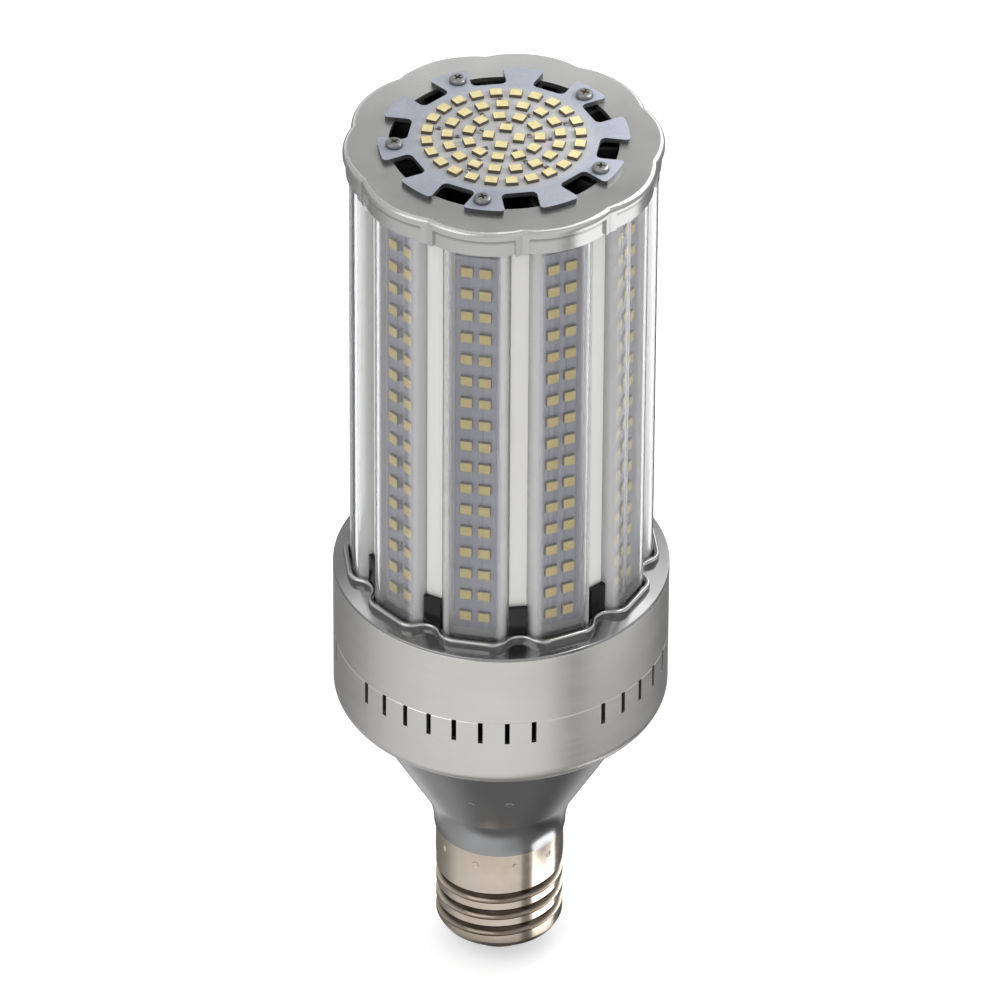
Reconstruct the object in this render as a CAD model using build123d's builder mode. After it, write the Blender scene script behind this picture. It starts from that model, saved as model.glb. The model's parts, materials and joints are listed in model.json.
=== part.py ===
from build123d import *
import os
from math import asin, atan2, cos, degrees, hypot, pi, radians, sin, tan

# LED retrofit lamp with a mogul screw cap: ten lit strips behind clear channels, a lit top
# and a fan-cooled heat sink. Sizes are in millimetres. The lamp stands on its cap, +Z up,
# with the origin at the middle of the contact's face, and its first strip faces -Y.

# Strips and their chips
strip_count = 10
row_count = 17
row_margin = 4.94
column_margin = 2.0
chip_width = 3.7
chip_height = 3.3
chip_thickness = 1.1
strip_width = 13.2
strip_thickness = 1.5
strip_lift = 4.0
strip_drop = 11.9

# Screw cap
thread_radius = 19.5
thread_pitch = 6.35
thread_turn = 145.0
groove_radius = 2.0
groove_depth = 1.7
shell_wall = 0.6
shell_height = 36.4
shell_lead_in = 2.0
cap_collar_radius = 19.65
cap_collar_height = 11.5
thread_runout = 0.3
dimple_count = 10
dimple_radius = 1.6
dimple_depth = 0.45
dimple_drop = 4.7
dimple_turn = -10.8
insulator_height = 8.0
insulator_plug = 4.0
insulator_foot_width = 2.0
contact_radius = 8.0
contact_height = 2.0
contact_proud = 1.1
contact_edge = 0.5

# Neck
neck_height = 50.0
neck_radius = 20.2
neck_wall = 2.2
neck_inset = 0.9
flare_radius = 28.0
spigot_length = 10.0
spigot_wall = 2.0
neck_flange_width = 6.0
neck_flange_thickness = 3.0

# Housing, a lower cup and an upper band
housing_radius = 50.9
housing_wall = 2.0
base_height = 24.9
base_corner = 6.0
band_height = 23.6
band_edge = 0.5
seam_chamfer = 0.2
vent_width = 1.5
vent_height = 7.5
vent_cut = 8.0
vent_pitch = 9.15
vent_turn = -0.5
vents_in_group = 8
vent_groups = 4
vent_gap_strip = 1

# Lower collar under the clear channels
collar_floor = 2.0
collar_floor_rise = 0.3
collar_lip = 0.7
collar_edge = 0.4
collar_skirt_depth = 8.0
collar_slope_rise = 2.0
collar_wall = 1.7
collar_wall_height = 3.6
collar_bead = 0.7
collar_lobe_inset = 0.7
collar_lean = 27.0
collar_corner = 5.5
collar_hollow = 4.6
lug_width = 5.6
lug_thickness = 1.5
lug_height = 13.1

# Heat sink
sink_length = 151.7
sink_wall = 2.3
rib_rise = 2.5
rib_width = 5.2
fin_reach = 11.5
fin_thickness = 1.2
fin_spread = 7.5
port_inset = 6.0
port_radius = 3.0
port_bore = 1.25
port_web = 2.0

# Clear channels over the strips
lens_inset = 5.4
lens_depth = 7.0
lens_wall = 1.3
lens_corner = 5.0

# Bezel and lit board on top
bezel_gap = 0.5
bezel_cusp_depth = 1.7
bezel_height = 8.3
bezel_plate = 1.6
bezel_wall = 1.7
bezel_edge = 1.5
bezel_lip = 2.5
bezel_panel_depth = 0.9
bezel_post = 4.0
bezel_bore_gap = 0.4
tab_overlap = 3.1
top_board_thickness = 1.5
top_board_turn = 2.0
notch_width = 10.6
notch_depth = 9.1
notch_corner = 1.8
tab_corner = 1.2
top_ring_margin = 5.3
top_ring_chips = (4, 11, 17, 24)
inner_ring_share = 0.75

# Fan
fan_size = 60.0
fan_depth = 15.0
fan_corner = 4.0
fan_bore_wall = 1.5
fan_hole_inset = 5.0
fan_hole_radius = 2.15
fan_plate = 1.5
fan_arms = 4
fan_arm_width = 4.0
motor_radius = 11.5
rotor_wall = 1.2
rotor_top = 2.0
rotor_lift = 0.8
tip_gap = 0.9
blade_count = 7
blade_thickness = 1.2
blade_lean = 4.5
blade_bow = 1.6
shaft_radius = 1.0
bearing_wall = 1.0
bearing_length = 8.5
bearing_tube_wall = 1.2
stator_poles = 4
stator_pole_width = 4.0
stator_rim = 1.6

# Driver
driver_board_margin = 4.4
driver_board_thickness = 1.6
standoff_inset = 4.0
standoff_radius = 3.0
standoff_height = 6.0
bulk_radius = 8.0
bulk_edge = 1.0
bulk_spacing = 24.0
bulk_headroom = 2.2
bulk_inset = 20.5
transformer_length = 26.0
transformer_width = 22.0
transformer_headroom = 4.2
winding_margin = 3.0
choke_radius = 8.0
choke_section = 3.5
choke_inset = 18.5
film_length = 18.0
film_width = 8.0
film_height = 14.0
film_edge = 1.0
film_inset = 18.5
switch_sink_thickness = 3.0
switch_sink_inset = 10.5
switch_sink_gap = 3.0
lead_radius = 0.8
shell_lead_bend = 3.0
shell_lead_tail = 0.6

# Screws
screw_radius = 1.2
screw_head_radius = 2.6
screw_head_height = 1.6
screw_head_edge = 0.5
screw_bite = 10.0
screws_in_ring = 4
screw_turn = 45.0
countersink_radius = 2.6
countersink_angle = 90.0

# Clearances
moulding_gap = 0.2
slide_gap = 0.1
thread_gap = 0.05
bearing_gap = 0.03
press_gap = 0.01

# Angles around the lamp
front = -90.0
strip_step = 360 / strip_count
half_step = pi / strip_count
cusp_start = front + strip_step / 2

# Heights of the stack, from the contact up
shell_bottom = insulator_height
shell_top = shell_bottom + shell_height
base_bottom = shell_top + neck_height
base_top = base_bottom + base_height
rim = base_top + band_height
floor_top = rim + collar_floor_rise
floor_bottom = floor_top - collar_floor
sink_top = floor_top + sink_length
bezel_top = sink_top + bezel_plate
bezel_bottom = bezel_top - bezel_height
top_board_top = bezel_top + top_board_thickness
strip_length = sink_length - strip_lift - strip_drop
strip_middle = floor_top + strip_lift + strip_length / 2
fan_bottom = floor_bottom - fan_depth
driver_seat = base_bottom + housing_wall + standoff_height
driver_top = driver_seat + driver_board_thickness
driver_room = fan_bottom - driver_top

# Radii that follow from the fits
shell_bore = thread_radius - groove_depth - shell_wall
neck_top_radius = housing_radius - base_corner - neck_inset
neck_flange_inner = neck_top_radius - neck_wall - neck_flange_width
housing_bore = housing_radius - housing_wall
lens_apothem = housing_radius - lens_inset
facet_apothem = lens_apothem - lens_depth
strip_face = facet_apothem + strip_thickness
row_pitch = (strip_length - 2 * row_margin) / (row_count - 1)
column_pitch = strip_width - 2 * column_margin - chip_width
rib_radius = facet_apothem + rib_rise
fin_tip_radius = facet_apothem - fin_reach
port_ring = facet_apothem - port_inset
collar_opening = port_ring - port_radius + slide_gap
bezel_bore = port_ring + screw_radius + bezel_bore_gap
top_board_radius = bezel_bore + tab_overlap
lens_half_width = facet_apothem * tan(half_step) - rib_width / 2 / cos(half_step) - slide_gap
collar_apothem = lens_apothem + moulding_gap + collar_wall
collar_lobe_half = lens_half_width - collar_lobe_inset
fan_bore = fan_size / 2 - fan_bore_wall
bearing_bore = shaft_radius + bearing_gap
bearing_radius = bearing_bore + bearing_wall
bearing_tube_radius = bearing_radius + bearing_tube_wall
stator_radius = motor_radius - rotor_wall - tip_gap
driver_board_radius = housing_bore - driver_board_margin
standoff_ring = driver_board_radius - standoff_inset
neck_screw_ring = neck_flange_inner + neck_flange_width / 2

on_base = (Align.CENTER, Align.CENTER, Align.MIN)
os.makedirs("parts", exist_ok=True)


# Shared outlines and planes
def strip_plane(index, height):
    """Level plane at a height, with its X axis pointing straight out of one strip."""
    turn = radians(front + index * strip_step)
    return Plane((0, 0, height), x_dir=(cos(turn), sin(turn), 0), z_dir=(0, 0, 1))


def facet_plane(index, apothem):
    """Upright plane in front of one strip's middle, with its X axis across the strip."""
    turn = radians(front + index * strip_step)
    outward = Vector(cos(turn), sin(turn), 0)
    middle = outward * apothem + Vector(0, 0, strip_middle)
    return Plane(middle, x_dir=(-sin(turn), cos(turn), 0), z_dir=outward)


def wavy_outline(inset):
    """Collar wall's line, drawn in by an inset: leaning flat lobes with rounded hollows between."""
    lean = radians(collar_lean)
    apothem = collar_apothem - inset
    half_width = collar_lobe_half - inset * tan((pi / 2 - lean) / 2)
    side = (apothem * tan(half_step) - half_width) / (sin(lean) + cos(lean) * tan(half_step))
    hollow = Vector((apothem - side * cos(lean)) / cos(half_step), 0)
    points = []
    for strip in range(strip_count):
        turn = front + strip * strip_step
        points.append(Vector(apothem, -half_width).rotate(Axis.Z, turn))
        points.append(Vector(apothem, half_width).rotate(Axis.Z, turn))
        points.append(hollow.rotate(Axis.Z, turn + strip_step / 2))
    with BuildSketch() as outline:
        with BuildLine():
            Polyline(*points, close=True)
        make_face()
        corners = outline.vertices().group_by(SortBy.DISTANCE, tol_digits=3)
        fillet(corners[0], collar_hollow + inset)
        corners = outline.vertices().group_by(SortBy.DISTANCE, tol_digits=3)
        fillet(corners[-1], collar_corner - inset)
    return outline.sketch


def scalloped_outline(apothem, cusp_radius):
    """Bowed lobes, one for each strip, that meet in cusps between them."""
    with BuildSketch() as outline:
        with BuildLine():
            for strip in range(strip_count):
                turn = front + strip * strip_step
                ThreePointArc(
                    Vector(cusp_radius, 0).rotate(Axis.Z, turn - strip_step / 2),
                    Vector(apothem, 0).rotate(Axis.Z, turn),
                    Vector(cusp_radius, 0).rotate(Axis.Z, turn + strip_step / 2),
                )
        make_face()
    return outline.sketch


def channel_outline(foot, apothem, half_width, corner):
    """Flat-fronted bar with rounded front corners, drawn along the X axis."""
    with BuildSketch() as outline:
        with Locations((foot, 0)):
            Rectangle(apothem - foot, 2 * half_width, align=(Align.MIN, Align.CENTER))
        fillet(outline.vertices().group_by(Axis.X)[-1], corner)
    return outline.sketch


def ring_section(inner, outer, low, high):
    """Section of a plain ring between two radii and two heights."""
    with Locations(((inner + outer) / 2, (low + high) / 2)):
        Rectangle(outer - inner, high - low)


def screw_section(seat, tip):
    """Half section of a pan-head screw with its head on a seat and its shank running to a tip."""
    head_top = seat + (screw_head_height if seat > tip else -screw_head_height)
    ring_section(0, screw_head_radius, min(seat, head_top), max(seat, head_top))
    ring_section(0, screw_radius, min(seat, tip), max(seat, tip))


# Centre contact
with BuildPart() as centre_contact:
    Cylinder(contact_radius, contact_height, align=on_base)
    fillet(centre_contact.edges().group_by(Axis.Z)[0], contact_edge)
centre_contact.part.label = "centre_contact"
export_step(centre_contact.part, "parts/centre_contact.step")

# Insulator, a cone with a plug inside the shell
insulator_radius = shell_bore - slide_gap
contact_pocket = contact_radius + slide_gap
lead_hole = lead_radius + moulding_gap
insulator_foot = contact_height - contact_proud
with BuildPart() as cap_insulator:
    with BuildSketch(Plane.XZ):
        with BuildLine():
            Polyline(
                (lead_hole, contact_height),
                (contact_pocket, contact_height),
                (contact_pocket, insulator_foot),
                (contact_pocket + insulator_foot_width, insulator_foot),
                (insulator_radius, shell_bottom),
                (insulator_radius, shell_bottom + insulator_plug),
                (lead_hole, shell_bottom + insulator_plug),
                close=True,
            )
        make_face()
    revolve(axis=Axis.Z)
cap_insulator.part.label = "cap_insulator"
export_step(cap_insulator.part, "parts/cap_insulator.step")

# Screw shell with its rolled thread and the punched dimples that lock it to the neck
cap_collar_bottom = shell_top - cap_collar_height
groove_ring = thread_radius + groove_radius - groove_depth
groove_top = cap_collar_bottom - groove_radius - thread_runout
groove_bottom = shell_bottom + shell_lead_in + groove_radius + thread_runout
with BuildPart() as thread_groove:
    with BuildLine() as groove_path:
        Helix(thread_pitch, groove_top - groove_bottom, groove_ring, center=(0, 0, groove_bottom))
    with BuildSketch(Plane(groove_path.line @ 0, z_dir=groove_path.line % 0)):
        Circle(groove_radius)
    sweep(path=groove_path.line, is_frenet=True)
with BuildPart() as screw_shell:
    with BuildSketch(Plane.XZ):
        with BuildLine():
            Polyline(
                (shell_bore, shell_bottom),
                (thread_radius - shell_lead_in / 2, shell_bottom),
                (thread_radius, shell_bottom + shell_lead_in),
                (thread_radius, cap_collar_bottom),
                (cap_collar_radius, cap_collar_bottom),
                (cap_collar_radius, shell_top),
                (shell_bore, shell_top),
                close=True,
            )
        make_face()
    revolve(axis=Axis.Z)
    add(thread_groove.part, rotation=(0, 0, thread_turn), mode=Mode.SUBTRACT)
    dimple_ring = cap_collar_radius + dimple_radius - dimple_depth
    with Locations(Plane.XY.offset(shell_top - dimple_drop)):
        with PolarLocations(dimple_ring, dimple_count, start_angle=front + dimple_turn):
            Sphere(dimple_radius, mode=Mode.SUBTRACT)
screw_shell.part.label = "screw_shell"
export_step(screw_shell.part, "parts/screw_shell.step")

# Neck, a trumpet that plugs into the shell and carries the housing on a flange
flare_run = neck_radius + flare_radius - neck_top_radius
flare_reach = hypot(flare_run, neck_height)
flare_angle = asin(flare_radius / flare_reach) - atan2(flare_run, neck_height)
flare_centre = (neck_radius + flare_radius, shell_top)


def flare_end(radius):
    """End of a flare arc of this radius, where the straight cone takes over."""
    return flare_centre[0] - radius * cos(flare_angle), flare_centre[1] + radius * sin(flare_angle)


neck_outer_top = (neck_top_radius, base_bottom)
neck_inner_top = (neck_top_radius - neck_wall / cos(flare_angle), base_bottom)
spigot_radius = shell_bore - slide_gap
spigot_bore = spigot_radius - spigot_wall
spigot_top = shell_top + spigot_wall
with BuildPart() as neck:
    with BuildSketch(Plane.XZ):
        with BuildLine():
            CenterArc(flare_centre, flare_radius, 180, -degrees(flare_angle))
            Polyline(
                flare_end(flare_radius),
                neck_outer_top,
                neck_inner_top,
                flare_end(flare_radius + neck_wall),
            )
            CenterArc(flare_centre, flare_radius + neck_wall, 180, -degrees(flare_angle))
            Line((neck_radius - neck_wall, shell_top), (neck_radius, shell_top))
        make_face()
        ring_section(spigot_bore, spigot_radius, shell_top - spigot_length, spigot_top)
        ring_section(spigot_bore, neck_radius - neck_wall / 2, shell_top, spigot_top)
        ring_section(
            neck_flange_inner, neck_top_radius - neck_wall, base_bottom - neck_flange_thickness, base_bottom
        )
    revolve(axis=Axis.Z)
    with BuildSketch(Plane.XY.offset(base_bottom)):
        with PolarLocations(neck_screw_ring, screws_in_ring):
            Circle(screw_radius + thread_gap)
    extrude(amount=-neck_flange_thickness, mode=Mode.SUBTRACT)
neck.part.label = "neck"
export_step(neck.part, "parts/neck.step")

# Housing base, a cup with a row of vents cut down from its upper edge
vent_middle = front + vent_gap_strip * strip_step + 180 / vent_groups + vent_turn
vent_span = (vents_in_group - 1) * vent_pitch
with BuildPart() as housing_base:
    with BuildSketch(Plane.XZ):
        ring_section(neck_flange_inner, housing_radius, base_bottom, base_bottom + housing_wall)
        ring_section(housing_bore, housing_radius, base_bottom, base_top)
    revolve(axis=Axis.Z)
    bore_edges = housing_base.faces().filter_by(GeomType.CYLINDER).sort_by(Axis.Z)[-1].edges()
    fillet(bore_edges.filter_by(GeomType.CIRCLE).sort_by(Axis.Z)[0], base_corner - housing_wall)
    rims = housing_base.edges().filter_by(GeomType.CIRCLE).group_by(Axis.Z)
    fillet(rims[0].sort_by(SortBy.RADIUS)[-1], base_corner)
    rims = housing_base.edges().filter_by(GeomType.CIRCLE).group_by(Axis.Z)
    chamfer(rims[-1].sort_by(SortBy.RADIUS)[-1], seam_chamfer)
    with BuildSketch(Plane.XY.offset(base_bottom + housing_wall)):
        with PolarLocations(standoff_ring, screws_in_ring, start_angle=screw_turn):
            Circle(standoff_radius)
    extrude(amount=standoff_height)
    with BuildSketch(Plane.XY.offset(driver_seat)):
        with PolarLocations(standoff_ring, screws_in_ring, start_angle=screw_turn):
            Circle(screw_radius + thread_gap)
    extrude(amount=-standoff_height, mode=Mode.SUBTRACT)
    with BuildSketch(Plane.XY.offset(base_bottom)):
        with PolarLocations(neck_screw_ring, screws_in_ring):
            Circle(screw_radius + moulding_gap)
    extrude(amount=housing_wall, mode=Mode.SUBTRACT)
    with BuildSketch(Plane.XY.offset(base_top)):
        for group in range(vent_groups):
            first_vent = vent_middle + group * 360 / vent_groups - vent_span / 2
            with PolarLocations(housing_radius, vents_in_group, first_vent, vent_span, endpoint=True):
                Rectangle(vent_cut, vent_width)
    extrude(amount=-vent_height, mode=Mode.SUBTRACT)
housing_base.part.label = "housing_base"
export_step(housing_base.part, "parts/housing_base.step")

# Housing band, a plain ring between the cup and the collar
with BuildPart() as housing_band:
    with BuildSketch(Plane.XZ):
        ring_section(housing_bore, housing_radius, base_top, rim)
    revolve(axis=Axis.Z)
    rims = housing_band.edges().filter_by(GeomType.CIRCLE).group_by(Axis.Z)
    fillet(rims[-1].sort_by(SortBy.RADIUS)[-1], band_edge)
    rims = housing_band.edges().filter_by(GeomType.CIRCLE).group_by(Axis.Z)
    chamfer(rims[0].sort_by(SortBy.RADIUS)[-1], seam_chamfer)
housing_band.part.label = "housing_band"
export_step(housing_band.part, "parts/housing_band.step")

# Lower collar: a sloped flange with a wavy wall round the channels and a lug under each rib
skirt_radius = housing_bore - moulding_gap
sink_reach = hypot(rib_radius, rib_width / 2) + slide_gap
collar_inside = wavy_outline(collar_wall)
fan_hole_pitch = fan_size - 2 * fan_hole_inset
fan_hole_ring = hypot(fan_hole_pitch, fan_hole_pitch) / 2
with BuildPart() as wavy_wall:
    with BuildSketch(Plane.XY.offset(floor_top)):
        add(wavy_outline(0))
        add(collar_inside, mode=Mode.SUBTRACT)
    extrude(amount=collar_wall_height)
    fillet(wavy_wall.edges().group_by(Axis.Z)[-1], collar_bead)
with BuildPart() as lower_collar:
    with BuildSketch(Plane.XZ):
        with BuildLine():
            Polyline(
                (collar_opening, floor_bottom),
                (collar_opening, floor_top),
                (sink_reach, floor_top),
                (sink_reach, floor_top + collar_slope_rise),
                (housing_radius, rim + collar_lip),
                (housing_radius, rim),
                (skirt_radius, rim),
                (skirt_radius, floor_bottom - collar_skirt_depth),
                (skirt_radius - housing_wall, floor_bottom - collar_skirt_depth),
                (skirt_radius - housing_wall, floor_bottom),
                close=True,
            )
        make_face()
    revolve(axis=Axis.Z)
    rims = lower_collar.edges().filter_by(GeomType.CIRCLE).group_by(SortBy.RADIUS)
    fillet(rims[-1].sort_by(Axis.Z)[-1], collar_edge)
    with BuildSketch(Plane.XY.offset(floor_top)):
        add(collar_inside)
    extrude(amount=collar_slope_rise, mode=Mode.SUBTRACT)
    add(wavy_wall.part)
    with BuildSketch(Plane.XY.offset(floor_top)):
        with PolarLocations(sink_reach + lug_thickness / 2, strip_count, start_angle=cusp_start):
            Rectangle(lug_thickness, lug_width)
        Circle(sink_reach, mode=Mode.SUBTRACT)
    extrude(amount=lug_height)
    with Locations(Plane(origin=(0, 0, floor_bottom), x_dir=(1, 0, 0), z_dir=(0, 0, -1))):
        with PolarLocations(port_ring, strip_count // 2, start_angle=-front):
            CounterSinkHole(
                screw_radius + moulding_gap,
                countersink_radius + thread_gap,
                collar_floor,
                countersink_angle,
            )
    with BuildSketch(Plane.XY.offset(floor_bottom)):
        with PolarLocations(fan_hole_ring, screws_in_ring, start_angle=screw_turn):
            Circle(screw_radius + thread_gap)
    extrude(amount=collar_floor, mode=Mode.SUBTRACT)
lower_collar.part.label = "lower_collar"
export_step(lower_collar.part, "parts/lower_collar.step")

# Heat sink, an extruded tube with flats for the strips, ribs between them and fins inside
inner_apothem = facet_apothem - sink_wall
root_radius = facet_apothem - sink_wall / 2
with BuildPart() as heat_sink:
    with BuildSketch(Plane.XY.offset(floor_top)):
        RegularPolygon(facet_apothem, strip_count, major_radius=False, rotation=cusp_start)
        with PolarLocations(rib_radius, strip_count, start_angle=cusp_start):
            Rectangle(rib_radius - root_radius, rib_width, align=(Align.MAX, Align.CENTER))
        RegularPolygon(
            inner_apothem, strip_count, major_radius=False, rotation=cusp_start, mode=Mode.SUBTRACT
        )
        for side in (-1, 1):
            with PolarLocations(fin_tip_radius, strip_count, start_angle=front + side * fin_spread):
                Rectangle(root_radius - fin_tip_radius, fin_thickness, align=(Align.MIN, Align.CENTER))
        with PolarLocations(port_ring, strip_count // 2, start_angle=front):
            Rectangle(root_radius - port_ring, port_web, align=(Align.MIN, Align.CENTER))
            Circle(port_radius)
        with PolarLocations(port_ring, strip_count // 2, start_angle=front):
            Circle(port_bore, mode=Mode.SUBTRACT)
    extrude(amount=sink_length)
heat_sink.part.label = "heat_sink"
export_step(heat_sink.part, "parts/heat_sink.step")

# Strips, their chips and the clear channels over them
lens_foot = facet_apothem + slide_gap
lens_outside = channel_outline(lens_foot, lens_apothem, lens_half_width, lens_corner)
lens_inside = channel_outline(
    lens_foot - lens_wall, lens_apothem - lens_wall, lens_half_width - lens_wall, lens_corner - lens_wall
)
for strip in range(strip_count):
    number = f"{strip + 1:02d}"

    with BuildPart() as led_strip:
        with BuildSketch(facet_plane(strip, facet_apothem)):
            Rectangle(strip_width, strip_length)
        extrude(amount=strip_thickness)
    led_strip.part.label = f"led_strip_{number}"
    export_step(led_strip.part, f"parts/led_strip_{number}.step")

    with BuildPart() as led_chips:
        with BuildSketch(facet_plane(strip, strip_face)):
            with GridLocations(column_pitch, row_pitch, 2, row_count):
                Rectangle(chip_width, chip_height)
        extrude(amount=chip_thickness)
    led_chips.part.label = f"led_chips_{number}"
    export_step(led_chips.part, f"parts/led_chips_{number}.step")

    with BuildPart() as side_lens:
        with BuildSketch(strip_plane(strip, floor_top)):
            add(lens_outside)
            add(lens_inside, mode=Mode.SUBTRACT)
        extrude(amount=sink_length)
    side_lens.part.label = f"side_lens_{number}"
    export_step(side_lens.part, f"parts/side_lens_{number}.step")

# Top bezel: a lobed cap over the channels' ends, panelled below its lip and open in the middle
bezel_apothem = lens_apothem + bezel_gap + bezel_wall
bezel_cusp_radius = bezel_apothem - bezel_cusp_depth
bezel_outside = scalloped_outline(bezel_apothem, bezel_cusp_radius)
bezel_inside = scalloped_outline(bezel_apothem - bezel_wall, bezel_cusp_radius - bezel_wall)
bezel_panels = scalloped_outline(
    bezel_apothem - bezel_panel_depth, bezel_cusp_radius - bezel_panel_depth
)
with BuildPart() as top_bezel:
    with BuildSketch(Plane.XY.offset(bezel_bottom)):
        add(bezel_outside)
    extrude(amount=bezel_height)
    fillet(top_bezel.faces().sort_by(Axis.Z)[-1].edges(), bezel_edge)
    with BuildSketch(Plane.XY.offset(bezel_bottom)):
        add(bezel_outside)
        add(bezel_panels, mode=Mode.SUBTRACT)
        with PolarLocations(bezel_cusp_radius, strip_count, start_angle=cusp_start):
            Rectangle(2 * bezel_wall, bezel_post, mode=Mode.SUBTRACT)
    extrude(amount=bezel_height - bezel_lip, mode=Mode.SUBTRACT)
    with BuildSketch(Plane.XY.offset(bezel_bottom)):
        add(bezel_inside)
    extrude(amount=bezel_height - bezel_plate, mode=Mode.SUBTRACT)
    with BuildSketch(Plane.XY.offset(sink_top)):
        Circle(bezel_bore)
    extrude(amount=bezel_plate, mode=Mode.SUBTRACT)
top_bezel.part.label = "top_bezel"
export_step(top_bezel.part, "parts/top_bezel.step")

# Top board, whose tabs clamp the bezel, and the chips in rings on it
tab_start = front + top_board_turn
notch_start = cusp_start + top_board_turn
notch_floor = top_board_radius - notch_depth
with BuildPart() as top_board:
    with BuildSketch(Plane.XY.offset(bezel_top)) as board_outline:
        Circle(top_board_radius)
        with PolarLocations(notch_floor, strip_count, start_angle=notch_start):
            Rectangle(
                2 * notch_depth, notch_width, align=(Align.MIN, Align.CENTER), mode=Mode.SUBTRACT
            )
        notch_ends = board_outline.vertices().group_by(SortBy.DISTANCE, tol_digits=3)
        fillet(notch_ends[0], notch_corner)
        tab_ends = board_outline.vertices().group_by(SortBy.DISTANCE, tol_digits=3)
        fillet(tab_ends[-1], tab_corner)
        with PolarLocations(port_ring, strip_count // 2, start_angle=front):
            Circle(screw_radius + moulding_gap, mode=Mode.SUBTRACT)
    extrude(amount=top_board_thickness)
top_board.part.label = "top_board"
export_step(top_board.part, "parts/top_board.step")

top_ring_gap = (notch_floor - top_ring_margin) / (len(top_ring_chips) - 1 + inner_ring_share)
with BuildPart() as top_led_chips:
    with BuildSketch(Plane.XY.offset(top_board_top)):
        for ring, chips in enumerate(top_ring_chips):
            with PolarLocations((ring + inner_ring_share) * top_ring_gap, chips, start_angle=tab_start):
                Rectangle(chip_height, chip_width)
    extrude(amount=chip_thickness)
top_led_chips.part.label = "top_led_chips"
export_step(top_led_chips.part, "parts/top_led_chips.step")

# Screws of the top board
with BuildPart() as board_screw:
    with BuildSketch(Plane.XZ):
        screw_section(top_board_top, sink_top - screw_bite)
    revolve(axis=Axis.Z)
    fillet(board_screw.edges().group_by(Axis.Z)[-1], screw_head_edge)
with BuildPart() as top_board_screws:
    with PolarLocations(port_ring, strip_count // 2, start_angle=front):
        add(board_screw.part)
top_board_screws.part.label = "top_board_screws"
export_step(top_board_screws.part, "parts/top_board_screws.step")

# Countersunk screws that hold the collar to the heat sink
with BuildPart() as collar_screw:
    with BuildSketch(Plane.XZ):
        with BuildLine():
            Polyline(
                (0, floor_bottom),
                (countersink_radius, floor_bottom),
                (screw_radius, floor_bottom + countersink_radius - screw_radius),
                (screw_radius, floor_top + screw_bite),
                (0, floor_top + screw_bite),
                close=True,
            )
        make_face()
    revolve(axis=Axis.Z)
with BuildPart() as collar_screws:
    with PolarLocations(port_ring, strip_count // 2, start_angle=front):
        add(collar_screw.part)
collar_screws.part.label = "collar_screws"
export_step(collar_screws.part, "parts/collar_screws.step")

# Fan frame with its arms, motor plate and bearing tube
plate_top = fan_bottom + fan_plate
bearing_top = plate_top + bearing_length
with BuildPart() as fan_frame:
    with BuildSketch(Plane.XY.offset(fan_bottom)):
        RectangleRounded(fan_size, fan_size, fan_corner)
        Circle(fan_bore, mode=Mode.SUBTRACT)
    extrude(amount=fan_depth)
    with BuildSketch(Plane.XY.offset(fan_bottom)):
        Circle(motor_radius)
        with PolarLocations(0, fan_arms):
            Rectangle(fan_bore + fan_bore_wall / 2, fan_arm_width, align=(Align.MIN, Align.CENTER))
    extrude(amount=fan_plate)
    with BuildSketch(Plane.XY.offset(plate_top)):
        Circle(bearing_tube_radius)
        Circle(bearing_radius + press_gap, mode=Mode.SUBTRACT)
    extrude(amount=bearing_length)
    with BuildSketch(Plane.XY.offset(fan_bottom)):
        with GridLocations(fan_hole_pitch, fan_hole_pitch, 2, 2):
            Circle(fan_hole_radius)
    extrude(amount=fan_depth, mode=Mode.SUBTRACT)
fan_frame.part.label = "fan_frame"
export_step(fan_frame.part, "parts/fan_frame.step")

with BuildPart() as fan_bearing:
    with BuildSketch(Plane.XY.offset(plate_top)):
        Circle(bearing_radius)
        Circle(bearing_bore, mode=Mode.SUBTRACT)
    extrude(amount=bearing_length)
fan_bearing.part.label = "fan_bearing"
export_step(fan_bearing.part, "parts/fan_bearing.step")

# Stator: wound poles on the bearing tube
stator_bore = bearing_tube_radius + press_gap
with BuildPart() as fan_stator:
    with BuildSketch(Plane.XY.offset(plate_top)):
        Circle(stator_radius)
        Circle(stator_radius - stator_rim, mode=Mode.SUBTRACT)
        with PolarLocations(0, stator_poles, start_angle=180 / stator_poles):
            Rectangle(stator_radius - stator_rim / 2, stator_pole_width, align=(Align.MIN, Align.CENTER))
        Circle(bearing_tube_radius + stator_rim)
        Circle(stator_bore, mode=Mode.SUBTRACT)
    extrude(amount=bearing_length - stator_rim)
fan_stator.part.label = "fan_stator"
export_step(fan_stator.part, "parts/fan_stator.step")

# Rotor: a hub cup over the motor with leaning, bowed blades
rotor_low = plate_top + rotor_lift
hub_ceiling = bearing_top + rotor_lift
hub_top = hub_ceiling + rotor_top
blade_low = rotor_low + blade_thickness
blade_high = hub_top - blade_thickness
blade_middle = (blade_low + blade_high) / 2 + blade_bow
blade_root = motor_radius - rotor_wall / 2
with BuildPart() as fan_blade:
    with BuildLine(mode=Mode.PRIVATE) as blade_bow_line:
        ThreePointArc((-blade_lean, blade_low), (-blade_bow, blade_middle), (blade_lean, blade_high))
    with BuildSketch(Plane((blade_root, 0, 0), x_dir=(0, 1, 0), z_dir=(1, 0, 0))):
        SlotArc(blade_bow_line.edge(), blade_thickness)
    extrude(amount=fan_bore - blade_root)
    Cylinder(fan_bore - tip_gap, 2 * bezel_top, mode=Mode.INTERSECT)
with BuildPart() as fan_rotor:
    with BuildSketch(Plane.XZ):
        ring_section(motor_radius - rotor_wall, motor_radius, rotor_low, hub_top)
        ring_section(shaft_radius + press_gap, motor_radius, hub_ceiling, hub_top)
    revolve(axis=Axis.Z)
    with PolarLocations(0, blade_count):
        add(fan_blade.part)
fan_rotor.part.label = "fan_rotor"
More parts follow.
